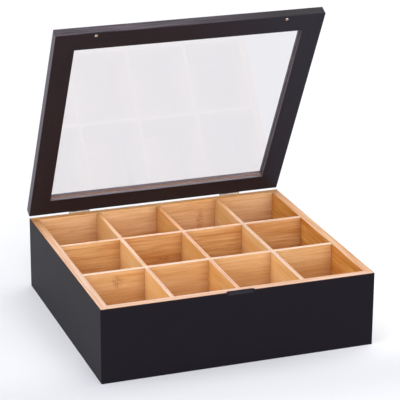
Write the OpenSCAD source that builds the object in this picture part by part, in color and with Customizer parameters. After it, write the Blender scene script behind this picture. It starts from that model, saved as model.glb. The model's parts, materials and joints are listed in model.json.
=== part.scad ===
// Tea bag organizer box with twelve compartments and a hinged window lid.
// The origin is at the centre of the underside: X along the front, Y to the back, Z up.
// The lid is drawn standing open. Its own parts are built lying flat, with Z = 0 at its inner face.

/* [Box] */
// Overall width of the box and the lid
box_w = 330; // [280:1:400]
// Overall depth of the box and the lid, front to back
box_d = 302; // [250:1:360]
// Height of the box without its lid
box_h = 90; // [70:1:110]
// Thickness of the four box walls
wall_t = 10.5; // [9:0.5:13]
// Thickness of the bottom panel
bottom_t = 4; // [3:0.5:6]
// How far the bottom panel reaches into the walls
rebate_in = 5; // [4:0.5:7]
// Rounding of the four upright corners, and of the lid's
corner_r = 1.5; // [0.5:0.25:3]
// Easing of the long outer edges
edge_r = 0.8; // [0.3:0.1:1.4]
// Easing of the inner edges, round the rim and round the window
inner_r = 0.5; // [0.2:0.1:1]

/* [Compartments] */
// Compartments side by side
cells_x = 4; // [2:1:5]
// Compartments from front to back
cells_y = 3; // [2:1:4]
// Thickness of the dividers
divider_t = 5; // [3:0.5:7]

/* [Finger notch] */
// Width of the notch in the front wall's top edge
notch_w = 34; // [24:1:50]
// How far the notch goes back into the wall
notch_d = 4.4; // [3:0.2:6]
// How far the notch goes down
notch_h = 3.5; // [2.5:0.5:6]
// Rounding of the notch's two ends, seen from above
notch_end_r = 3; // [1.5:0.5:3]
// Rounding along the foot of the notch's back face
notch_foot_r = 1.5; // [0.5:0.25:2]

/* [Lid] */
// Thickness of the lid frame
lid_t = 11.5; // [9:0.5:14]
// Gap between the rim and the closed lid
lid_gap = 1; // [0.6:0.1:2]
// Width of the rails and stiles round the window
rail_w = 25; // [20:1:40]
// Thickness of the clear pane
pane_t = 2; // [1.5:0.5:3]
// Distance from the lid's inner face to the pane
pane_up = 4; // [2.5:0.1:4.5]
// Depth of the groove that holds the pane
groove_in = 5; // [3:0.5:8]
// Lid angle from closed, in degrees
lid_open = 62; // [0:1:180]

/* [Rest studs] */
// Distance from the lid's side to the middle of a stud
stud_side = 48.5; // [20:0.5:70]
// Diameter of a stud's head
stud_d = 4; // [3:0.5:6]
// Diameter of a stud's shank
stud_shank_d = 1.6; // [1.2:0.2:2.4]
// Length of a stud's shank
stud_shank_l = 6; // [4:0.5:7]

/* [Hinges] */
// Distance from the side of the box to the middle of a hinge
hinge_side = 65; // [40:1:90]
// Length of a hinge
hinge_l = 25.4; // [22:0.2:36]
// Thickness of a hinge leaf, which is let into the wood to lie flush
leaf_t = 0.7; // [0.7:0.1:1.2]
// Distance from the lid's outer face to the leaf's edge
leaf_inset = 2; // [1.6:0.1:2.4]
// Rounding of a leaf's free corners
leaf_r = 1.2; // [0.5:0.1:1.6]
// Diameter of the hinge pin
pin_d = 1.6; // [1.4:0.1:2.4]
// Diameter of the pin's two heads
pin_head_d = 2.4; // [2.4:0.1:2.8]
// Thickness of the pin's heads
pin_head_t = 0.6; // [0.4:0.1:1]
// Distance from a leaf's end to its screw
screw_end = 5; // [4:0.5:6]
// Diameter of a screw's shank
screw_d = 1.8; // [1.4:0.1:2]
// Diameter of a screw's head
screw_head_d = 3.2; // [2.8:0.1:3.6]
// Length of a screw
screw_l = 8; // [6:0.5:9]

/* [Fits] */
// Running clearance round the pin, and round every shank in its hole
fit_gap = 0.05; // [0.02:0.01:0.08]
// Clearance on each side in the dividers' halving joints
halving_gap = 0.1; // [0.05:0.05:0.2]
// Clearance round the edges of the bottom panel and the pane
panel_gap = 0.4; // [0.2:0.1:1]
// Clearance round a hinge leaf in its pocket, and round the pin's heads
let_in_gap = 0.1; // [0.05:0.05:0.3]
// Clearance between neighbouring hinge knuckles
knuckle_gap = 0.2; // [0.1:0.05:0.3]
// Clearance left between a stud and the rim when the lid is closed
stud_gap = 0.1; // [0.05:0.05:0.3]

/* [Hidden] */
$fn = 64;
knuckles = 5;
last_knuckle = knuckles - 1;
box_knuckles = [0, 2, 4];
lid_knuckles = [1, 3];
sides = [-1, 1];
// Cuts start this far outside what they cut
over = 1;

black_paint = [0.13, 0.13, 0.14];
natural_bamboo = [0.88, 0.70, 0.48];
clear_pane = [0.85, 0.9, 0.9, 0.35];
plated_steel = [0.78, 0.74, 0.66];

inner_w = box_w - 2 * wall_t;
inner_d = box_d - 2 * wall_t;
cell_w = (inner_w - (cells_x - 1) * divider_t) / cells_x;
cell_d = (inner_d - (cells_y - 1) * divider_t) / cells_y;
divider_h = box_h - bottom_t;
halving_z = bottom_t + divider_h / 2;
panel_in = rebate_in - panel_gap;
pane_in = groove_in - panel_gap;

stud_x = box_w / 2 - stud_side;
stud_y = -box_d / 2 + wall_t / 2;
stud_h = lid_gap - stud_gap;

bore_r = pin_d / 2 + fit_gap;
knuckle_r = bore_r + leaf_t;
knuckle_w = hinge_l / knuckles;
// From the floor of a leaf's pocket to the pin's axis
axis_out = knuckle_r + fit_gap;
hinge_x = box_w / 2 - hinge_side;
hinge_y = box_d / 2 - leaf_t + axis_out;
hinge_z = box_h + lid_gap / 2;
leaf_h = lid_gap / 2 + lid_t - leaf_inset;
plate_low = knuckle_r + knuckle_gap;
screw_x = hinge_l / 2 - screw_end;
screw_up = (plate_low + leaf_h) / 2;
screw_head_t = leaf_t - fit_gap;
screw_tip = 2;

function divider_x(i) = -inner_w / 2 + i * cell_w + (i - 0.5) * divider_t;
function divider_y(i) = -inner_d / 2 + i * cell_d + (i - 0.5) * divider_t;

// What a router takes off a square corner at the origin to leave it rounded
module corner_waste(r) {
    difference() {
        translate([-over, -over])
            square(r + over);
        translate([r, r])
            circle(r);
    }
}

// A rectangle with its two outer corners, at X = 0, and two inner corners eased
module eased_board(width, height, outer_r, inner_r) {
    difference() {
        square([width, height]);
        corner_waste(outer_r);
        translate([0, height])
            mirror([0, 1])
                corner_waste(outer_r);
        translate([width, 0])
            mirror([1, 0])
                corner_waste(inner_r);
        translate([width, height])
            rotate(180)
                corner_waste(inner_r);
    }
}

// A board along X with its outer face at Y = 0, mitred at both ends, from a profile of its section
module mitred_board(length, width, height) {
    intersection() {
        translate([-length / 2, 0, 0])
            rotate([90, 0, 90])
                linear_extrude(length)
                    children();
        linear_extrude(height)
            difference() {
                polygon([
                    [-length / 2, 0],
                    [length / 2, 0],
                    [length / 2 - width, width],
                    [-length / 2 + width, width]
                ]);
                for (side = [0, 1])
                    mirror([side, 0])
                        translate([-length / 2, 0])
                            corner_waste(corner_r);
            }
    }
}

// Turns a board that faces the front to face another side, reach away from the middle
module facing(angle, reach) {
    rotate(angle)
        translate([0, -reach, 0])
            children();
}

module wall_section() {
    difference() {
        eased_board(wall_t, box_h, edge_r, inner_r);
        translate([wall_t - rebate_in, -over])
            square([rebate_in + over, bottom_t + over]);
    }
}

module rail_section() {
    difference() {
        eased_board(rail_w, lid_t, edge_r, inner_r);
        translate([rail_w - groove_in, pane_up])
            square([groove_in + over, pane_t]);
    }
}

module box_wall(angle, length, reach) {
    facing(angle, reach)
        mitred_board(length, wall_t, box_h)
            wall_section();
}

// Swings the lid's parts up from lying flat on the box
module on_lid() {
    translate([0, hinge_y, hinge_z])
        rotate([-lid_open, 0, 0])
            translate([0, -hinge_y, lid_gap / 2])
                children();
}

module lid_board(angle, length, reach) {
    facing(angle, reach)
        mitred_board(length, rail_w, lid_t)
            rail_section();
}

// Both hinge places, in the box's frame and in the lid's
module at_box_hinge(side) {
    translate([side * hinge_x, hinge_y, hinge_z])
        children();
}

module at_lid_hinge(side) {
    translate([side * hinge_x, hinge_y, -lid_gap / 2])
        children();
}

// The two screw places of one leaf, with Z along the screw and the leaf's outer face at Z = 0
module at_leaf_screws() {
    for (end = sides)
        translate([end * screw_x, leaf_t - axis_out, screw_up])
            rotate([-90, 0, 0])
                children();
}

// What is chiselled out of the wood for one leaf, with room beside it for the ends of the pin
module leaf_pocket() {
    pocket_l = hinge_l + 2 * let_in_gap;
    pin_room_l = hinge_l + 2 * (pin_head_t + let_in_gap);
    translate([-pocket_l / 2, -axis_out, 0])
        cube([pocket_l, leaf_t + over, leaf_h + let_in_gap]);
    translate([-pin_room_l / 2, -axis_out, 0])
        cube([pin_room_l, leaf_t + over, pin_head_d / 2 + let_in_gap]);
}

module pilot_hole() {
    translate([0, 0, -screw_l - fit_gap])
        cylinder(h = screw_l + over, r = screw_d / 2 + fit_gap);
}

module countersink() {
    translate([0, 0, -screw_head_t])
        cylinder(h = screw_head_t, r1 = screw_d / 2 + fit_gap, r2 = screw_head_d / 2 + fit_gap);
}

module wood_screw() {
    slot_w = screw_d / 4;
    slot_l = screw_head_d * 0.6;
    slot_t = screw_head_t * 0.7;
    tip_r = screw_d / 12;
    difference() {
        union() {
            translate([0, 0, -screw_head_t])
                cylinder(h = screw_head_t, r1 = screw_d / 2, r2 = screw_head_d / 2);
            translate([0, 0, -screw_l + screw_tip])
                cylinder(h = screw_l - screw_tip - screw_head_t, r = screw_d / 2);
            translate([0, 0, -screw_l])
                cylinder(h = screw_tip, r1 = tip_r, r2 = screw_d / 2);
        }
        for (turn = [0, 90])
            rotate(turn)
                translate([-slot_l / 2, -slot_w / 2, -slot_t])
                    cube([slot_l, slot_w, slot_t + over]);
    }
}

module notch_plan() {
    difference() {
        translate([-notch_w / 2, -over])
            square([notch_w, notch_d + over]);
        translate([-notch_w / 2, notch_d])
            mirror([0, 1])
                corner_waste(notch_end_r);
        translate([notch_w / 2, notch_d])
            rotate(180)
                corner_waste(notch_end_r);
    }
}

module notch_section() {
    difference() {
        translate([-over, 0])
            square([notch_d + over, notch_h + over]);
        translate([notch_d, 0])
            mirror([1, 0])
                corner_waste(notch_foot_r);
    }
}

module finger_notch() {
    translate([0, -box_d / 2, box_h - notch_h])
        intersection() {
            linear_extrude(notch_h + over)
                notch_plan();
            translate([-notch_w / 2, 0, 0])
                rotate([90, 0, 90])
                    linear_extrude(notch_w)
                        notch_section();
        }
}

module front_wall() {
    color(black_paint)
        difference() {
            box_wall(0, box_w, box_d / 2);
            finger_notch();
        }
}

module back_wall() {
    color(black_paint)
        difference() {
            box_wall(180, box_w, box_d / 2);
            for (side = sides)
                at_box_hinge(side)
                    mirror([0, 0, 1]) {
                        leaf_pocket();
                        at_leaf_screws()
                            pilot_hole();
                    }
        }
}

module left_wall() {
    color(black_paint)
        box_wall(-90, box_d, box_w / 2);
}

module right_wall() {
    color(black_paint)
        box_wall(90, box_d, box_w / 2);
}

module bottom_panel() {
    panel_w = inner_w + 2 * panel_in;
    panel_d = inner_d + 2 * panel_in;
    color(natural_bamboo)
        translate([-panel_w / 2, -panel_d / 2, 0])
            cube([panel_w, panel_d, bottom_t]);
}

// Runs from the front wall to the back wall, slotted from above for the cross dividers
module long_divider(i) {
    slot_w = divider_t + 2 * halving_gap;
    color(natural_bamboo)
        translate([divider_x(i) - divider_t / 2, 0, 0])
            difference() {
                translate([0, -inner_d / 2, bottom_t])
                    cube([divider_t, inner_d, divider_h]);
                for (j = [1 : cells_y - 1])
                    translate([-over, divider_y(j) - slot_w / 2, halving_z])
                        cube([divider_t + 2 * over, slot_w, divider_h]);
            }
}

// Runs from side to side, slotted from below for the long dividers
module cross_divider(i) {
    slot_w = divider_t + 2 * halving_gap;
    slot_top = halving_z + halving_gap;
    color(natural_bamboo)
        translate([0, divider_y(i) - divider_t / 2, 0])
            difference() {
                translate([-inner_w / 2, 0, bottom_t])
                    cube([inner_w, divider_t, divider_h]);
                for (j = [1 : cells_x - 1])
                    translate([divider_x(j) - slot_w / 2, -over, 0])
                        cube([slot_w, divider_t + 2 * over, slot_top]);
            }
}

module stud_hole(side) {
    translate([side * stud_x, stud_y, -over])
        cylinder(h = stud_shank_l + fit_gap + over, r = stud_shank_d / 2 + fit_gap);
}

module lid_front_rail() {
    color(black_paint)
        on_lid()
            difference() {
                lid_board(0, box_w, box_d / 2);
                for (side = sides)
                    stud_hole(side);
            }
}

module lid_back_rail() {
    color(black_paint)
        on_lid()
            difference() {
                lid_board(180, box_w, box_d / 2);
                for (side = sides)
                    at_lid_hinge(side) {
                        leaf_pocket();
                        at_leaf_screws()
                            pilot_hole();
                    }
            }
}

module lid_left_stile() {
    color(black_paint)
        on_lid()
            lid_board(-90, box_d, box_w / 2);
}

module lid_right_stile() {
    color(black_paint)
        on_lid()
            lid_board(90, box_d, box_w / 2);
}

module window_pane() {
    pane_w = box_w - 2 * rail_w + 2 * pane_in;
    pane_d = box_d - 2 * rail_w + 2 * pane_in;
    color(clear_pane)
        on_lid()
            translate([-pane_w / 2, -pane_d / 2, pane_up])
                cube([pane_w, pane_d, pane_t]);
}

// A round-headed stud: its shank is driven into the lid and its dome stands below the inner face
module rest_stud(side) {
    dome_r = (stud_d * stud_d / 4 + stud_h * stud_h) / (2 * stud_h);
    color(plated_steel)
        on_lid()
            translate([side * stud_x, stud_y, 0]) {
                cylinder(h = stud_shank_l, r = stud_shank_d / 2);
                intersection() {
                    translate([0, 0, dome_r - stud_h])
                        sphere(dome_r);
                    translate([0, 0, -stud_h])
                        cylinder(h = stud_h, r = stud_d / 2);
                }
            }
}

// One hinge leaf standing up from the pin, with the pin on the X axis and the pocket's floor at Y = -axis_out
module hinge_leaf(own_knuckles) {
    difference() {
        union() {
            translate([0, leaf_t - axis_out, 0])
                rotate([90, 0, 0])
                    linear_extrude(leaf_t)
                        leaf_plate();
            for (i = own_knuckles)
                knuckle(i);
        }
        rotate([0, 90, 0])
            cylinder(h = hinge_l + 2 * over, r = bore_r, center = true);
        at_leaf_screws() {
            pilot_hole();
            countersink();
        }
    }
}

module leaf_plate() {
    difference() {
        translate([-hinge_l / 2, plate_low])
            square([hinge_l, leaf_h - plate_low]);
        for (side = [0, 1])
            mirror([side, 0])
                translate([-hinge_l / 2, leaf_h])
                    mirror([0, 1])
                        corner_waste(leaf_r);
    }
}

// One knuckle round the pin, with the curled strip that joins it to its leaf
module knuckle(i) {
    low_gap = i == 0 ? 0 : knuckle_gap / 2;
    high_gap = i == last_knuckle ? 0 : knuckle_gap / 2;
    width = knuckle_w - low_gap - high_gap;
    translate([-hinge_l / 2 + i * knuckle_w + low_gap, 0, 0]) {
        rotate([0, 90, 0])
            cylinder(h = width, r = knuckle_r);
        translate([0, -axis_out, 0])
            cube([width, leaf_t, plate_low + leaf_t]);
    }
}

module box_leaf(side) {
    color(plated_steel)
        at_box_hinge(side)
            mirror([0, 0, 1])
                hinge_leaf(box_knuckles);
}

module lid_leaf(side) {
    color(plated_steel)
        on_lid()
            at_lid_hinge(side)
                hinge_leaf(lid_knuckles);
}

module hinge_pin(side) {
    color(plated_steel)
        at_box_hinge(side)
            rotate([0, 90, 0]) {
                cylinder(h = hinge_l, r = pin_d / 2, center = true);
                for (end = [0, 1])
                    mirror([0, 0, end])
                        translate([0, 0, hinge_l / 2])
                            cylinder(h = pin_head_t, r = pin_head_d / 2);
            }
}

module hinge_screws_box() {
    color(plated_steel)
        for (side = sides)
            at_box_hinge(side)
                mirror([0, 0, 1])
                    at_leaf_screws()
                        wood_screw();
}

module hinge_screws_lid() {
    color(plated_steel)
        on_lid()
            for (side = sides)
                at_lid_hinge(side)
                    at_leaf_screws()
                        wood_screw();
}

front_wall();
back_wall();
left_wall();
right_wall();
bottom_panel();
for (i = [1 : cells_x - 1])
    long_divider(i);
for (i = [1 : cells_y - 1])
    cross_divider(i);
lid_front_rail();
lid_back_rail();
lid_left_stile();
lid_right_stile();
window_pane();
rest_stud(-1);  // left_rest_stud
rest_stud(1);  // right_rest_stud
box_leaf(-1);  // left_hinge_box_leaf
lid_leaf(-1);  // left_hinge_lid_leaf
hinge_pin(-1);  // left_hinge_pin
box_leaf(1);  // right_hinge_box_leaf
lid_leaf(1);  // right_hinge_lid_leaf
hinge_pin(1);  // right_hinge_pin
hinge_screws_box();
hinge_screws_lid();
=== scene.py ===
import json
import math
import bpy
from mathutils import Matrix, Vector

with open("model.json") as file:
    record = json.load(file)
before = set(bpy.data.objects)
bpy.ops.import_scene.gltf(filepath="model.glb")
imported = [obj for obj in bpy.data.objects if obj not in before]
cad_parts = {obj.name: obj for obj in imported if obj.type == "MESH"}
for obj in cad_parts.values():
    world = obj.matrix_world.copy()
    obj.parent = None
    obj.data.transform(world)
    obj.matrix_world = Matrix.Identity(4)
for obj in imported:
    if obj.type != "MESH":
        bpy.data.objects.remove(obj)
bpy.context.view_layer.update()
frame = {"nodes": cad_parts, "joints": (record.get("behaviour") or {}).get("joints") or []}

NODES = frame["nodes"]
HINGE = next(joint for joint in frame["joints"] if joint["name"] == "lid_hinge")

# Sizes are in millimetres unless a comment says otherwise

# The box without its lid, its walls and dividers, and how many compartments lie along X and along Y
BOX_W = 330.0
BOX_D = 302.0
BOX_H = 90.0
WALL_T = 10.5
DIVIDER_T = 5.0
CELLS = {"X": 4, "Y": 3}
# The finger notch, with a little to spare: half its width, its depth and its drop from the rim
NOTCH_HALF_W = 17.1
NOTCH_DEPTH = 4.5
NOTCH_DROP = 3.6
# How far below the rim the paint in the notch ends
NOTCH_BARE = 0.12

# The lid's hinge line, the angle that it stands open at in radians, and the width of its rails and stiles
HINGE_LINE = [1000.0 * value for value in HINGE["pos_m"]]
LID_OPEN = math.radians(-HINGE["range_deg"][0])
RAIL_W = 25.0
# The pane's groove: how far in from the lid's outer edge it starts, and its lowest and highest Z when shut
GROOVE_IN = 19.9
GROOVE_Z = (94.9, 97.5)

# Strips of split culm are planed to this width and glued side by side, and two plies of them make a wall
STRIP_W = 20.0
PLY_T = WALL_T / 2
# How far apart the dots of a node mark lie, along the grain and across it
DOT_STEP = (2.6, 2.2)
# Painted shade of the open lid, darker and more golden towards the hinges: the Y at which it starts and is
# full, on faces and on top edges
FACE_LID_SHADE_Y = (-60.0, 130.0)
EDGE_LID_SHADE_Y = (40.0, 140.0)
# How wide the painted shade in a corner is, and where the dark line along the corner starts and stops to fade
CORNER_SHADE = 12.0
CORNER_LINE = (0.3, 1.1)
# How far below the rim the colour of the bare top edge starts and is full
RIM_FADE = (0.6, 0.2)

# How far the spray of black paint reaches round the outer edge, the stained line next to it, and their blur
PAINT_REACH = 0.35
PAINT_BLUR = 0.05
STAIN_REACH = 0.8
STAIN_BLUR = 0.1
# How far the edge of the paint strays to either side
WANDER = 0.1
# How deep into a wall the paint goes in the hinge pockets and round the upright corners, but only from just
# below the rim's rounding down
POCKET_PAINT = 5.0
RIM_ROUNDING = 0.9
# A point this near to a face counts as on it
SKIN = 0.3
# Scales that draw noise out to 60 mm along the grain and 1.2 mm across it, for grain along X or Y
GRAIN_ALONG = {"X": (1 / 60.0, 1 / 1.2, 1 / 1.2), "Y": (1 / 1.2, 1 / 60.0, 1 / 1.2)}
# Painted reflection on the lid: the X at which its black starts to turn bluer and is bluest, and at which its
# front edge's painted sheen fades to blacker and is blackest
BLUER = (0.0, 120.0)
BLACKER = (-20.0, 100.0)

# The depth of relief under the varnish and the paint, and the width of the dividers' sanded edges, in metres
RELIEF = 0.0001
SANDED = 0.00035


def linear(hex_colour):
    """An sRGB hex colour as linear RGBA."""
    channels = [int(hex_colour[i : i + 2], 16) / 255 for i in (1, 3, 5)]
    return [c / 12.92 if c <= 0.04045 else ((c + 0.055) / 1.055) ** 2.4 for c in channels] + [1.0]


def add(tree, kind, inputs=(), **settings):
    """Adds a node. An input given as a node or a socket is linked, and anything else is set."""
    node = tree.nodes.new("ShaderNode" + kind)
    for name, value in settings.items():
        setattr(node, name, value)
    for key, value in dict(inputs).items():
        socket = node.inputs[key] if isinstance(key, int) else first(node.inputs, key)
        if isinstance(value, bpy.types.Node):
            tree.links.new(first(value.outputs), socket)
        elif isinstance(value, bpy.types.NodeSocket):
            tree.links.new(value, socket)
        else:
            socket.default_value = value
    return node


def first(sockets, name=None):
    """The first socket in use, of that name if one is given."""
    return next(s for s in sockets if s.enabled and name in (None, s.name))


def material(name, build):
    """A material whose node tree is filled by build, which returns the surface shader."""
    made = bpy.data.materials.new(name)
    made.use_nodes = True
    tree = made.node_tree
    tree.nodes.clear()
    add(tree, "OutputMaterial", {"Surface": build(tree)})
    return made


def millimetres(tree):
    """The object's own X, Y and Z in millimetres."""
    place = add(tree, "TexCoord").outputs["Object"]
    return add(tree, "VectorMath", {0: place, "Scale": 1000.0}, operation="SCALE")


def node_marks(tree, colour, along, across, board):
    """Patches of small brown dots on a darker ground, which planing leaves where a culm had a node."""
    run = add(tree, "Math", {0: along, 1: 1 / DOT_STEP[0]}, operation="MULTIPLY")
    rise = add(tree, "Math", {0: across, 1: 1 / DOT_STEP[1]}, operation="MULTIPLY")
    spot = add(tree, "CombineXYZ", {0: run, 1: rise, 2: board["seed"]})
    dots = add(tree, "TexVoronoi", {"Vector": spot, "Scale": 1.0})
    for mark_along, mark_across, half_length, half_height in board["marks"]:
        run = add(tree, "MapRange", {"Value": along, "From Min": mark_along,
                                     "From Max": mark_along + half_length}, clamp=False)
        rise = add(tree, "MapRange", {"Value": across, "From Min": mark_across,
                                      "From Max": mark_across + half_height}, clamp=False)
        away = add(tree, "VectorMath", {0: add(tree, "CombineXYZ", {0: run, 1: rise})}, operation="LENGTH")
        patch = add(tree, "MapRange", {"Value": away.outputs["Value"], "From Min": 0.5, "From Max": 1.1,
                                       "To Min": 1.0, "To Max": 0.0})
        brown = add(tree, "MapRange", {"Value": dots.outputs["Distance"], "From Min": 0.2, "From Max": 0.42,
                                       "To Min": 0.95, "To Max": 0.18})
        brown = add(tree, "Math", {0: patch, 1: brown}, operation="MULTIPLY")
        colour = add(tree, "Mix", {"Factor": brown, "A": colour, "B": linear("#A3581A")}, data_type="RGBA")
    return colour


def dark_corners(tree, colour, along, board):
    """Darkens this board where other boards meet it: a wide painted shade in the corner, and a thin dark line
    along the joint where glue and varnish gather.
    """
    axis = board["axes"][0]
    # The boards that meet this one stand evenly along it, with a wall at either end
    span = {"X": BOX_W, "Y": BOX_D}[axis] - 2 * WALL_T + DIVIDER_T
    step = span / CELLS[axis]
    from_end = add(tree, "Math", {0: along, 1: span / 2}, operation="ADD")
    nearest = add(tree, "Math", {0: from_end, 1: step / 2}, operation="PINGPONG")
    corner = DIVIDER_T / 2
    # A wide painted shade, and the thin dark joint line right in the corner
    corner_painted_shade = add(tree, "MapRange", {"Value": nearest, "From Min": corner, "From Max": corner + CORNER_SHADE,
                                  "To Min": board["corners"], "To Max": 0.0})
    line = add(tree, "MapRange", {"Value": nearest, "From Min": corner + CORNER_LINE[0],
                                  "From Max": corner + CORNER_LINE[1], "To Min": 0.3, "To Max": 0.0})
    shade = add(tree, "Math", {0: corner_painted_shade, 1: line}, operation="MAXIMUM")
    return add(tree, "Mix", {"Factor": shade, "A": colour, "B": linear("#8A480A")}, data_type="RGBA")


def bare_top_edge(tree, colour, axes, lines, board):
    """The sanded top edge soaks up less varnish: paler and pinker than the faces, with fine lines."""
    pale = add(tree, "MapRange", {"Value": lines, "From Min": 0.4, "From Max": 0.58})
    edge = add(tree, "Mix", {"Factor": pale, "A": linear(board["rim_deep"]), "B": linear(board["rim_pale"])},
               data_type="RGBA")
    # Painted shade of the open lid: the top edge turns a deeper gold towards the hinges
    lid_shaded = add(tree, "MapRange", {"Value": axes.outputs[1], "From Min": EDGE_LID_SHADE_Y[0],
                                      "From Max": EDGE_LID_SHADE_Y[1], "To Max": board["lid_shade_strength"]})
    edge = add(tree, "Mix", {"Factor": lid_shaded, "A": edge, "B": linear("#B87C3E")}, data_type="RGBA")
    top = add(tree, "MapRange", {"Value": axes.outputs[2], "From Min": BOX_H - RIM_FADE[0],
                                 "From Max": BOX_H - RIM_FADE[1], "To Max": 0.9})
    return add(tree, "Mix", {"Factor": top, "A": colour, "B": edge}, data_type="RGBA")


def bamboo_colour(tree, place, board):
    """Strip-laminated bamboo. Returns its colour, and a height that follows the fibres."""
    axes = add(tree, "SeparateXYZ", {0: place})
    along, across, through = [axes.outputs["XYZ".index(a)] for a in board["axes"]]
    # Each strip of each ply draws one chance number, which sets its tone and shifts its fibres
    strip = add(tree, "Math", {0: across, 1: 1 / STRIP_W, 2: board["seed"] * 0.37}, operation="MULTIPLY_ADD")
    strip_index = add(tree, "Math", {0: strip}, operation="FLOOR")
    ply = add(tree, "Math", {0: through, 1: 1 / PLY_T}, operation="MULTIPLY")
    ply_index = add(tree, "Math", {0: ply}, operation="ROUND")
    key = add(tree, "CombineXYZ", {0: strip_index, 1: ply_index, 2: board["seed"]})
    chance = add(tree, "TexWhiteNoise", {"Vector": key}, noise_dimensions="3D")

    def fibres(along_mm, across_mm, detail, shift):
        """Noise drawn out along the grain: its size along and across the fibres in millimetres."""
        shifted = add(tree, "Math", {0: chance, 1: 300.0, 2: shift + board["seed"] * 17.0},
                      operation="MULTIPLY_ADD")
        run = add(tree, "Math", {0: along, 1: 1 / along_mm, 2: shifted}, operation="MULTIPLY_ADD")
        rise = add(tree, "Math", {0: across, 1: 1 / across_mm}, operation="MULTIPLY")
        deep = add(tree, "Math", {0: through, 1: 1 / across_mm}, operation="MULTIPLY")
        spot = add(tree, "CombineXYZ", {0: run, 1: rise, 2: deep})
        return add(tree, "TexNoise", {"Vector": spot, "Scale": 1.0, "Detail": detail, "Roughness": 0.55})

    broad = fibres(110.0, 14.0, detail=2.0, shift=0.0)
    streaks = fibres(60.0, 2.2, detail=3.0, shift=40.0)
    # Single fibre bundles are 0.3 mm, drawn 0.8 mm wide so that they show
    bundles = fibres(20.0, 0.8, detail=2.0, shift=90.0)
    tone = add(tree, "Math", {0: broad, 1: 0.9, 2: -0.45}, operation="MULTIPLY_ADD")
    tone = add(tree, "Math", {0: streaks, 1: board["streaks"], 2: tone}, operation="MULTIPLY_ADD")
    tone = add(tree, "Math", {0: chance, 1: board["strips"], 2: tone}, operation="MULTIPLY_ADD")
    middle = 0.5 * board["streaks"] + 0.5 * board["strips"]
    pale = add(tree, "MapRange", {"Value": tone, "From Min": middle - 0.3, "From Max": middle + 0.3})
    colour = add(tree, "Mix", {"Factor": pale, "A": linear(board["deep"]), "B": linear(board["pale"])},
                 data_type="RGBA")
    dark = add(tree, "MapRange", {"Value": bundles, "From Min": 0.56, "From Max": 0.75, "To Max": 0.4})
    colour = add(tree, "Mix", {"Factor": dark, "A": colour, "B": linear("#A5682F")}, data_type="RGBA")
    colour = node_marks(tree, colour, along, across, board)
    # Painted shade of the open lid: the faces turn darker and more golden towards the hinges
    lid_shaded = add(tree, "MapRange", {"Value": axes.outputs[1], "From Min": FACE_LID_SHADE_Y[0],
                                      "From Max": FACE_LID_SHADE_Y[1], "To Max": 0.35 * board["lid_shade_strength"]})
    colour = add(tree, "Mix", {"Factor": lid_shaded, "A": colour, "B": linear("#94540A")}, data_type="RGBA")
    colour = dark_corners(tree, colour, along, board)
    edge_lines = fibres(90.0, 1.4, detail=2.0, shift=60.0)
    return bare_top_edge(tree, colour, axes, edge_lines, board), streaks


def varnish_roughness(tree, streaks):
    """Thin varnish lies smoother over the pale streaks than over the deep ones."""
    return add(tree, "MapRange", {"Value": streaks, "To Min": 0.5, "To Max": 0.38})


def varnished_bamboo(node_name, board):
    """Planed bamboo under thin clear varnish: pale straw colour, fine straight fibres and a low sheen."""

    def build(tree):
        colour, streaks = bamboo_colour(tree, millimetres(tree), board)
        bump = add(tree, "Bump", {"Strength": 0.15, "Distance": RELIEF, "Height": streaks})
        rough = varnish_roughness(tree, streaks)
        return add(tree, "BsdfPrincipled", {"Base Color": colour, "Roughness": rough, "Normal": bump})

    return material("varnished_bamboo_" + node_name, build)


def satin_paint(tree, place, stretch, low, high):
    """Colour, roughness and height of sprayed black paint, through which the wood's grain still shows."""
    stretched = add(tree, "VectorMath", {0: place, 1: stretch}, operation="MULTIPLY")
    grain = add(tree, "TexNoise", {"Vector": stretched, "Scale": 1.0, "Detail": 3.0})
    colour = add(tree, "Mix", {"Factor": grain, "A": linear(low), "B": linear(high)}, data_type="RGBA")
    rough = add(tree, "MapRange", {"Value": grain, "To Min": 0.5, "To Max": 0.6})
    return colour, rough, grain


def from_outer_faces(tree, place):
    """How far in a point lies from the nearer side of the box, from its nearer end, and from either."""
    size = add(tree, "VectorMath", {0: place}, operation="ABSOLUTE")
    parts = add(tree, "SeparateXYZ", {0: size})
    from_side = add(tree, "Math", {0: BOX_W / 2, 1: parts.outputs[0]}, operation="SUBTRACT")
    from_end = add(tree, "Math", {0: BOX_D / 2, 1: parts.outputs[1]}, operation="SUBTRACT")
    return from_side, from_end, add(tree, "Math", {0: from_side, 1: from_end}, operation="MINIMUM")


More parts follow.
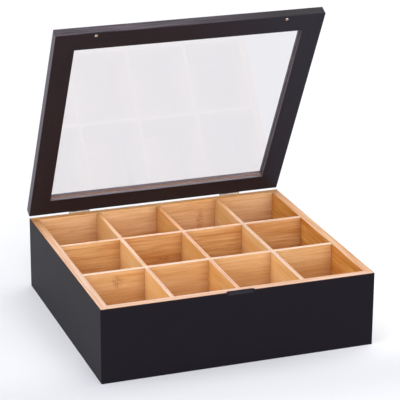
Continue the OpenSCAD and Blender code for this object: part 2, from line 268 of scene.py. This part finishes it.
def painted_areas(tree, axes, depth):
    """Where paint covers a wall, whose outer faces lie depth away, and where it covers the finger notch."""
    across, ahead, height = axes.outputs
    outside = add(tree, "MapRange", {"Value": depth, "From Min": PAINT_REACH - PAINT_BLUR,
                                     "From Max": PAINT_REACH + PAINT_BLUR, "To Min": 1.0, "To Max": 0.0})
    underside = add(tree, "Math", {0: height, 1: SKIN}, operation="LESS_THAN")
    # Below the rim the paint covers the rounded corners and the hinge pockets too
    pockets = add(tree, "Math", {0: depth, 1: POCKET_PAINT}, operation="LESS_THAN")
    below_rim = add(tree, "Math", {0: height, 1: BOX_H - RIM_ROUNDING}, operation="LESS_THAN")
    pockets = add(tree, "Math", {0: pockets, 1: below_rim}, operation="MULTIPLY")
    from_middle = add(tree, "Math", {0: across}, operation="ABSOLUTE")
    notch = add(tree, "Math", {0: from_middle, 1: NOTCH_HALF_W}, operation="LESS_THAN")
    in_depth = add(tree, "Math", {0: depth, 1: NOTCH_DEPTH}, operation="LESS_THAN")
    in_front = add(tree, "Math", {0: ahead, 1: 0.0}, operation="LESS_THAN")
    above = add(tree, "Math", {0: height, 1: BOX_H - NOTCH_DROP}, operation="GREATER_THAN")
    below = add(tree, "Math", {0: height, 1: BOX_H - NOTCH_BARE}, operation="LESS_THAN")
    for part in (in_depth, in_front, above, below):
        notch = add(tree, "Math", {0: notch, 1: part}, operation="MULTIPLY")
    covered = outside
    for part in (underside, pockets, notch):
        covered = add(tree, "Math", {0: covered, 1: part}, operation="MAXIMUM")
    return covered, notch


def painted_wall(node_name, board):
    """A bamboo wall sprayed black outside and varnished inside, with the rim left bare after sanding."""

    def build(tree):
        place = millimetres(tree)
        wood, streaks = bamboo_colour(tree, place, board)
        grain_scale = GRAIN_ALONG[board["axes"][0]]
        paint, paint_rough, peel = satin_paint(tree, place, grain_scale, "#100D12", "#151218")
        depth = from_outer_faces(tree, place)[2]
        stray = add(tree, "TexNoise", {"Vector": place, "Scale": 0.5, "Detail": 2.0})
        depth = add(tree, "Math", {0: stray, 1: 2 * WANDER, 2: depth}, operation="MULTIPLY_ADD")
        depth = add(tree, "Math", {0: depth, 1: WANDER}, operation="SUBTRACT")
        covered, notch = painted_areas(tree, add(tree, "SeparateXYZ", {0: place}), depth)
        # Painted highlight: the paint in the finger notch is a lighter grey, for the light that its floor
        # catches
        paint = add(tree, "Mix", {"Factor": notch, "A": paint, "B": linear("#29262D")}, data_type="RGBA")
        stain = add(tree, "MapRange", {"Value": depth, "From Min": STAIN_REACH - STAIN_BLUR,
                                       "From Max": STAIN_REACH + STAIN_BLUR, "To Min": 0.85, "To Max": 0.0})
        wood = add(tree, "Mix", {"Factor": stain, "A": wood, "B": linear("#7A4A22")}, data_type="RGBA")
        colour = add(tree, "Mix", {"Factor": covered, "A": wood, "B": paint}, data_type="RGBA")
        rough = add(tree, "Mix", {"Factor": covered, "A": varnish_roughness(tree, streaks), "B": paint_rough})
        height = add(tree, "Mix", {"Factor": covered, "A": streaks, "B": peel})
        bump = add(tree, "Bump", {"Strength": 0.12, "Distance": RELIEF, "Height": height})
        return add(tree, "BsdfPrincipled", {"Base Color": colour, "Roughness": rough, "Normal": bump,
                                            "Specular IOR Level": 0.12, "Specular Tint": linear("#FFF3FF")})

    return material("painted_bamboo_" + node_name, build)


def painted_lid(name, axis, groove, cool):
    """A board of the lid frame, sprayed black: warm on the faces, with a painted sheen on the edges, bare in
    the groove.

    The groove has the colour given. Cool says how far the black turns to a bluer one towards the right: a
    painted reflection.
    """

    def build(tree):
        # Back to where the point lies when the lid is shut, so that the faces are level
        shut = add(tree, "VectorRotate", {"Vector": millimetres(tree), "Center": HINGE_LINE,
                                          "Angle": LID_OPEN}, rotation_type="X_AXIS")
        axes = add(tree, "SeparateXYZ", {0: shut})
        from_side, from_end, inset = from_outer_faces(tree, shut)
        paint, rough, grain = satin_paint(tree, shut, GRAIN_ALONG[axis], "#0F0A0C", "#2E2227")
        # Painted reflection: the warm black turns to a bluer one towards the right
        blue = add(tree, "Mix", {"Factor": grain, "A": linear("#14121A"), "B": linear("#2B2732")},
                   data_type="RGBA")
        bluer = add(tree, "MapRange", {"Value": axes.outputs[0], "From Min": BLUER[0], "From Max": BLUER[1],
                                       "To Max": cool})
        paint = add(tree, "Mix", {"Factor": bluer, "A": paint, "B": blue}, data_type="RGBA")
        # A painted sheen: the left and right edges and the window's reveal are a lighter grey
        side = add(tree, "Math", {0: from_side, 1: SKIN}, operation="LESS_THAN")
        window = add(tree, "Math", {0: inset, 1: RAIL_W - SKIN}, operation="GREATER_THAN")
        painted_sheen = add(tree, "Math", {0: side, 1: window}, operation="MAXIMUM")
        colour = add(tree, "Mix", {"Factor": painted_sheen, "A": paint, "B": linear("#575055")}, data_type="RGBA")
        # On the front and back edges the grain shows as lilac lines, lightened by a painted sheen that fades
        # to blacker towards the right
        end = add(tree, "Math", {0: from_end, 1: SKIN}, operation="LESS_THAN")
        lines = add(tree, "MapRange", {"Value": grain, "From Min": 0.4, "From Max": 0.6})
        lilac = add(tree, "Mix", {"Factor": lines, "A": linear("#211B20"), "B": linear("#50464F")},
                    data_type="RGBA")
        black = add(tree, "MapRange", {"Value": axes.outputs[0], "From Min": BLACKER[0],
                                       "From Max": BLACKER[1]})
        lilac = add(tree, "Mix", {"Factor": black, "A": lilac, "B": linear("#110A12")}, data_type="RGBA")
        colour = add(tree, "Mix", {"Factor": end, "A": colour, "B": lilac}, data_type="RGBA")
        inside = add(tree, "Math", {0: inset, 1: GROOVE_IN}, operation="GREATER_THAN")
        above = add(tree, "Math", {0: axes.outputs[2], 1: GROOVE_Z[0]}, operation="GREATER_THAN")
        below = add(tree, "Math", {0: axes.outputs[2], 1: GROOVE_Z[1]}, operation="LESS_THAN")
        bare = add(tree, "Math", {0: above, 1: below}, operation="MULTIPLY")
        bare = add(tree, "Math", {0: bare, 1: inside}, operation="MULTIPLY")
        colour = add(tree, "Mix", {"Factor": bare, "A": colour, "B": linear(groove)}, data_type="RGBA")
        bump = add(tree, "Bump", {"Strength": 0.2, "Distance": RELIEF, "Height": grain})
        return add(tree, "BsdfPrincipled", {"Base Color": colour, "Roughness": rough, "Normal": bump,
                                            "Specular IOR Level": 0.25})

    return material("satin_black_paint_" + name, build)


def clear_pane():
    """A 2 mm polished acrylic sheet: nearly colourless, with a hard thin reflection."""

    def build(tree):
        sheet = add(tree, "BsdfPrincipled", {"Base Color": linear("#ECEAEA"), "Roughness": 0.02, "IOR": 1.49,
                                             "Specular Tint": linear("#CECECE"), "Transmission Weight": 1.0})
        lets_light_by = add(tree, "BsdfTransparent", {"Color": linear("#F4F5F4")})
        path = add(tree, "LightPath")
        return add(tree, "MixShader", {0: path.outputs["Is Shadow Ray"], 1: sheet, 2: lets_light_by})

    return material("clear_acrylic", build)


def plated_steel(name, hex_colour, roughness):
    """Nickel plate on steel, rolled or turned: warm grey, with fine rub marks that blur the reflection."""

    def build(tree):
        rub = add(tree, "TexNoise", {"Vector": millimetres(tree), "Scale": 2.0, "Detail": 3.0})
        rough = add(tree, "MapRange", {"Value": rub, "To Min": roughness, "To Max": roughness + 0.15})
        return add(tree, "BsdfPrincipled", {"Base Color": linear(hex_colour), "Metallic": 1.0,
                                            "Roughness": rough})

    return material(name, build)


def dress(made, *names):
    """Gives CAD nodes a material."""
    for name in names:
        NODES[name].material_slots[0].material = made


def ease_edges(*names):
    """Breaks the sharp edges of plain boards as a pass of sandpaper does."""
    for name in names:
        NODES[name].modifiers.new("joined_corners", "WELD")
        bevel = NODES[name].modifiers.new("sanded_edges", "BEVEL")
        bevel.width = SANDED
        bevel.segments = 2
        bevel.angle_limit = math.radians(40)
        NODES[name].modifiers.new("flat_faces", "WEIGHTED_NORMAL")


# The lines and the ground of the bare top edges, of the walls and of the dividers
WALL_RIM = ("#D8A886", "#E9C9B4")
DIVIDER_RIM = ("#DBB08F", "#EACAB6")


def board(axes, seed, pale, deep, streaks, strips, marks=(), rim=DIVIDER_RIM, lid_shade_strength=0.0, corners=0.2):
    """How one board looks.

    Axes are those along, across and through the grain. Streaks and strips say how much each of these varies
    the tone between pale and deep. A mark gives the middle of a patch of dots, along and across the grain,
    and then half its length and half its height. Rim is the colour of the top edge's lines and of its ground.
    The lid shade and corners say how strong the painted shade of the open lid, darker towards the hinges, and
    the painted shade in the corners are, from 0 to 1.
    """
    return dict(axes=axes, seed=seed, pale=pale, deep=deep, streaks=streaks, strips=strips, marks=marks,
                rim_deep=rim[0], rim_pale=rim[1], lid_shade_strength=lid_shade_strength, corners=corners)


BOARDS = {
    "front_wall": board("XZY", 1.0, "#EBC08B", "#D69A57", 0.7, 0.15, rim=WALL_RIM),
    # The back wall's top edge is a deeper orange than the other walls': painted shade of the open lid above
    # it
    "back_wall": board("XZY", 2.0, "#EABE90", "#CE955A", 0.9, 0.15, marks=((56.0, 64.0, 6.0, 17.0),),
                       rim=("#E0954A", "#EFBA80"), corners=0.14),
    "left_wall": board("YZX", 3.0, "#EBBE88", "#D39650", 0.8, 0.15, rim=WALL_RIM, lid_shade_strength=0.9),
    "right_wall": board("YZX", 4.0, "#E2A75A", "#BE7224", 1.5, 0.2, rim=("#CC9468", "#E6BD9B"),
                        lid_shade_strength=0.6),
    "bottom_panel": board("XYZ", 5.0, "#E6B87C", "#CC924F", 0.8, 0.2, marks=((30.0, -95.0, 5.0, 12.0),)),
    "long_divider_1": board("YZX", 6.0, "#FDD396", "#F5BA70", 0.8, 0.1, marks=((-100.0, 40.0, 4.0, 9.0),),
                            lid_shade_strength=0.9),
    "long_divider_2": board("YZX", 7.0, "#F1C07C", "#DE9C4E", 0.8, 0.1, rim=("#D39A76", "#E4B99C"),
                            lid_shade_strength=0.9),
    "long_divider_3": board("YZX", 8.0, "#F9D094", "#EBAE62", 0.8, 0.1, marks=((20.0, 55.0, 4.0, 9.0),),
                            lid_shade_strength=0.9),
    "cross_divider_1": board("XZY", 9.0, "#F1C58E", "#D89A55", 0.9, 0.15, marks=((-114.0, 77.0, 7.0, 9.0),),
                             rim=("#E5C1A4", "#EED7C3")),
    "cross_divider_2": board("XZY", 10.0, "#ECBC80", "#C88544", 1.35, 0.2, marks=((-26.0, 58.0, 9.0, 4.0),)),
}
for node_name, look in BOARDS.items():
    finish = painted_wall if node_name.endswith("_wall") else varnished_bamboo
    dress(finish(node_name, look), node_name)
ease_edges(*(name for name in BOARDS if "divider" in name))
dress(painted_lid("front_rail", "X", "#9A673E", 0.85), "lid_front_rail")
dress(painted_lid("back_rail", "X", "#9A673E", 0.0), "lid_back_rail")
dress(painted_lid("stiles", "Y", "#4A3A36", 0.85), "lid_left_stile", "lid_right_stile")
dress(clear_pane(), "window_pane")
hinge_metal = plated_steel("warm_nickel_plate", "#AEA196", 0.3)
for side in ("left", "right"):
    dress(hinge_metal, side + "_hinge_box_leaf", side + "_hinge_lid_leaf", side + "_hinge_pin")
dress(hinge_metal, "hinge_screws_box", "hinge_screws_lid")
dress(plated_steel("bright_nickel_plate", "#BEA99A", 0.18), "left_rest_stud", "right_rest_stud")

# How far the white paper under the box is lifted where it is seen, and its places in millimetres: the pool of
# light right of the box, the shaded band along its front and the shaded paper on its left
PAPER_LIFT = 0.28
POOL_LIFT = 0.38
POOL_X = (20.0, 320.0)
POOL_FRONT_Y = (-240.0, -120.0)
POOL_BACK_Y = (150.0, 450.0)
BAND_SHADE = (0.155, 0.03)
BAND_Y = -205.0
BAND_HALF_W = 140.0
LEFT_SHADE = 0.045
LEFT_X = (-170.0, -250.0)
# Mirrored in the object, the paper's lift shows only left of the box, up to these X: a painted reflection of
# the windows' light there
MIRRORED_X = (-165.0, -100.0)
# The paper's half width, in metres
PAPER_REACH = 12.0


def seen_rays(tree):
    """1 for what the camera sees, straight or by a reflection or through the pane, else 0."""
    path = add(tree, "LightPath")
    seen = path.outputs["Is Camera Ray"]
    for kind in ("Is Glossy Ray", "Is Transmission Ray"):
        seen = add(tree, "Math", {0: seen, 1: path.outputs[kind]}, operation="MAXIMUM")
    unscattered = add(tree, "Math", {0: path.outputs["Diffuse Depth"], 1: 0.5}, operation="LESS_THAN")
    return add(tree, "Math", {0: seen, 1: unscattered}, operation="MULTIPLY")


def paper_level(tree):
    """How far the paper is lifted from place to place, seen straight."""
    axes = add(tree, "SeparateXYZ", {0: millimetres(tree)})
    pool = add(tree, "MapRange", {"Value": axes.outputs[0], "From Min": POOL_X[0], "From Max": POOL_X[1],
                                  "To Max": POOL_LIFT}, interpolation_type="SMOOTHSTEP")
    begins = add(tree, "MapRange", {"Value": axes.outputs[1], "From Min": POOL_FRONT_Y[0],
                                    "From Max": POOL_FRONT_Y[1]}, interpolation_type="SMOOTHSTEP")
    ends = add(tree, "MapRange", {"Value": axes.outputs[1], "From Min": POOL_BACK_Y[0],
                                  "From Max": POOL_BACK_Y[1], "To Min": 1.0, "To Max": 0.0},
               interpolation_type="SMOOTHSTEP")
    pool = add(tree, "Math", {0: pool, 1: begins}, operation="MULTIPLY")
    level = add(tree, "Math", {0: pool, 1: ends, 2: PAPER_LIFT}, operation="MULTIPLY_ADD")
    band = add(tree, "Math", {0: axes.outputs[1], 1: BAND_Y}, operation="SUBTRACT")
    band = add(tree, "Math", {0: band}, operation="ABSOLUTE")
    band = add(tree, "MapRange", {"Value": band, "From Min": 0.0, "From Max": BAND_HALF_W,
                                  "To Min": BAND_SHADE[0], "To Max": BAND_SHADE[1]},
               interpolation_type="SMOOTHSTEP")
    level = add(tree, "Math", {0: level, 1: band}, operation="SUBTRACT")
    left = add(tree, "MapRange", {"Value": axes.outputs[0], "From Min": LEFT_X[0], "From Max": LEFT_X[1],
                                  "To Max": LEFT_SHADE}, interpolation_type="SMOOTHSTEP")
    return add(tree, "Math", {0: level, 1: left}, operation="SUBTRACT"), axes


def studio_floor():
    """White sweep paper: matt, lifted to white where the camera sees it, so that the shadows show, with a
    painted pool of light and painted shade as well.
    """

    def build(tree):
        paper = add(tree, "BsdfDiffuse", {"Color": linear("#D2D2D4")})
        level, axes = paper_level(tree)
        unlit = add(tree, "MapRange", {"Value": axes.outputs[0], "From Min": MIRRORED_X[0],
                                       "From Max": MIRRORED_X[1]})
        mirrored = add(tree, "LightPath").outputs["Is Reflection Ray"]
        unlit = add(tree, "Math", {0: unlit, 1: mirrored}, operation="MULTIPLY")
        lit = add(tree, "Math", {0: 1.0, 1: unlit}, operation="SUBTRACT")
        level = add(tree, "Math", {0: level, 1: lit}, operation="MULTIPLY")
        lift = add(tree, "Math", {0: seen_rays(tree), 1: level}, operation="MULTIPLY")
        glow = add(tree, "Emission", {"Color": (1.0, 1.0, 1.0, 1.0), "Strength": lift})
        return add(tree, "AddShader", {0: paper, 1: glow})

    mesh = bpy.data.meshes.new("studio_floor")
    corners = [(x * PAPER_REACH, y * PAPER_REACH, 0) for x, y in ((-1, -1), (1, -1), (1, 1), (-1, 1))]
    mesh.from_pydata(corners, [], [(0, 1, 2, 3)])
    mesh.materials.append(material("white_sweep_paper", build))
    floor = bpy.data.objects.new("studio_floor", mesh)
    bpy.context.scene.collection.objects.link(floor)


def studio_world():
    """A plain bright room, lighter to the left and to the front, and white where it is seen."""
    world = bpy.data.worlds.new("bright_room")
    bpy.context.scene.world = world
    world.use_nodes = True
    tree = world.node_tree
    tree.nodes.clear()
    way = add(tree, "SeparateXYZ", {0: add(tree, "TexCoord").outputs["Generated"]})
    left = add(tree, "MapRange", {"Value": way.outputs[0], "From Min": 0.0, "From Max": -1.0,
                                  "To Min": 0.3, "To Max": 0.6})
    front = add(tree, "MapRange", {"Value": way.outputs[1], "From Min": 0.0, "From Max": -1.0, "To Max": 0.4})
    level = add(tree, "Math", {0: left, 1: front}, operation="ADD")
    tint = add(tree, "VectorMath", {0: (0.96, 0.98, 1.02), "Scale": level}, operation="SCALE")
    colour = add(tree, "Mix", {"Factor": seen_rays(tree), "A": tint, "B": (1.0, 1.0, 1.0, 1.0)},
                 data_type="RGBA")
    add(tree, "OutputWorld", {"Surface": add(tree, "Background", {"Color": colour})})


def sun(name, towards, strength, spread, hex_colour):
    """A far soft light that shines from that direction, with its spread in degrees."""
    lamp = bpy.data.lights.new(name, "SUN")
    lamp.energy = strength
    lamp.angle = math.radians(spread)
    lamp.color = linear(hex_colour)[:3]
    lamp.cycles.use_multiple_importance_sampling = False
    holder = bpy.data.objects.new(name, lamp)
    holder.rotation_euler = Vector(towards).to_track_quat("Z", "Y").to_euler()
    bpy.context.scene.collection.objects.link(holder)


def camera(place, yaw, pitch, roll, lens_mm):
    """The photograph's view, from the front left, looking down on the open box: in metres and degrees."""
    yaw, pitch, roll = [math.radians(angle) for angle in (yaw, pitch, roll)]
    level = Vector((-math.sin(yaw), math.cos(yaw), 0.0))
    forward = math.cos(pitch) * level - math.sin(pitch) * Vector((0, 0, 1))
    right = Vector((math.cos(yaw), math.sin(yaw), 0.0))
    rise = right.cross(forward)
    image_right = math.cos(roll) * right + math.sin(roll) * rise
    image_up = math.cos(roll) * rise - math.sin(roll) * right
    lens = bpy.data.cameras.new("camera")
    lens.lens = lens_mm
    lens.sensor_width = 36.0
    lens.clip_end = 100.0
    holder = bpy.data.objects.new("camera", lens)
    turn = Matrix((image_right, image_up, -forward)).transposed()
    holder.matrix_world = Matrix.Translation(place) @ turn.to_4x4()
    bpy.context.scene.collection.objects.link(holder)
    bpy.context.scene.camera = holder


studio_floor()
studio_world()
sun("overhead_softbox", (0.32, 0.21, 0.92), 1.15, 40.0, "#FFFCF8")
sun("front_window", (0.1, -0.95, 0.28), 1.9, 50.0, "#F3F6FF")
sun("left_window", (-0.8, -0.17, 0.58), 1.7, 50.0, "#F3F6FF")
camera((-0.7036, -1.9530, 0.9061), yaw=-19.938, pitch=20.095, roll=0.343, lens_mm=168.05)
bpy.context.scene.view_settings.view_transform = "Standard"
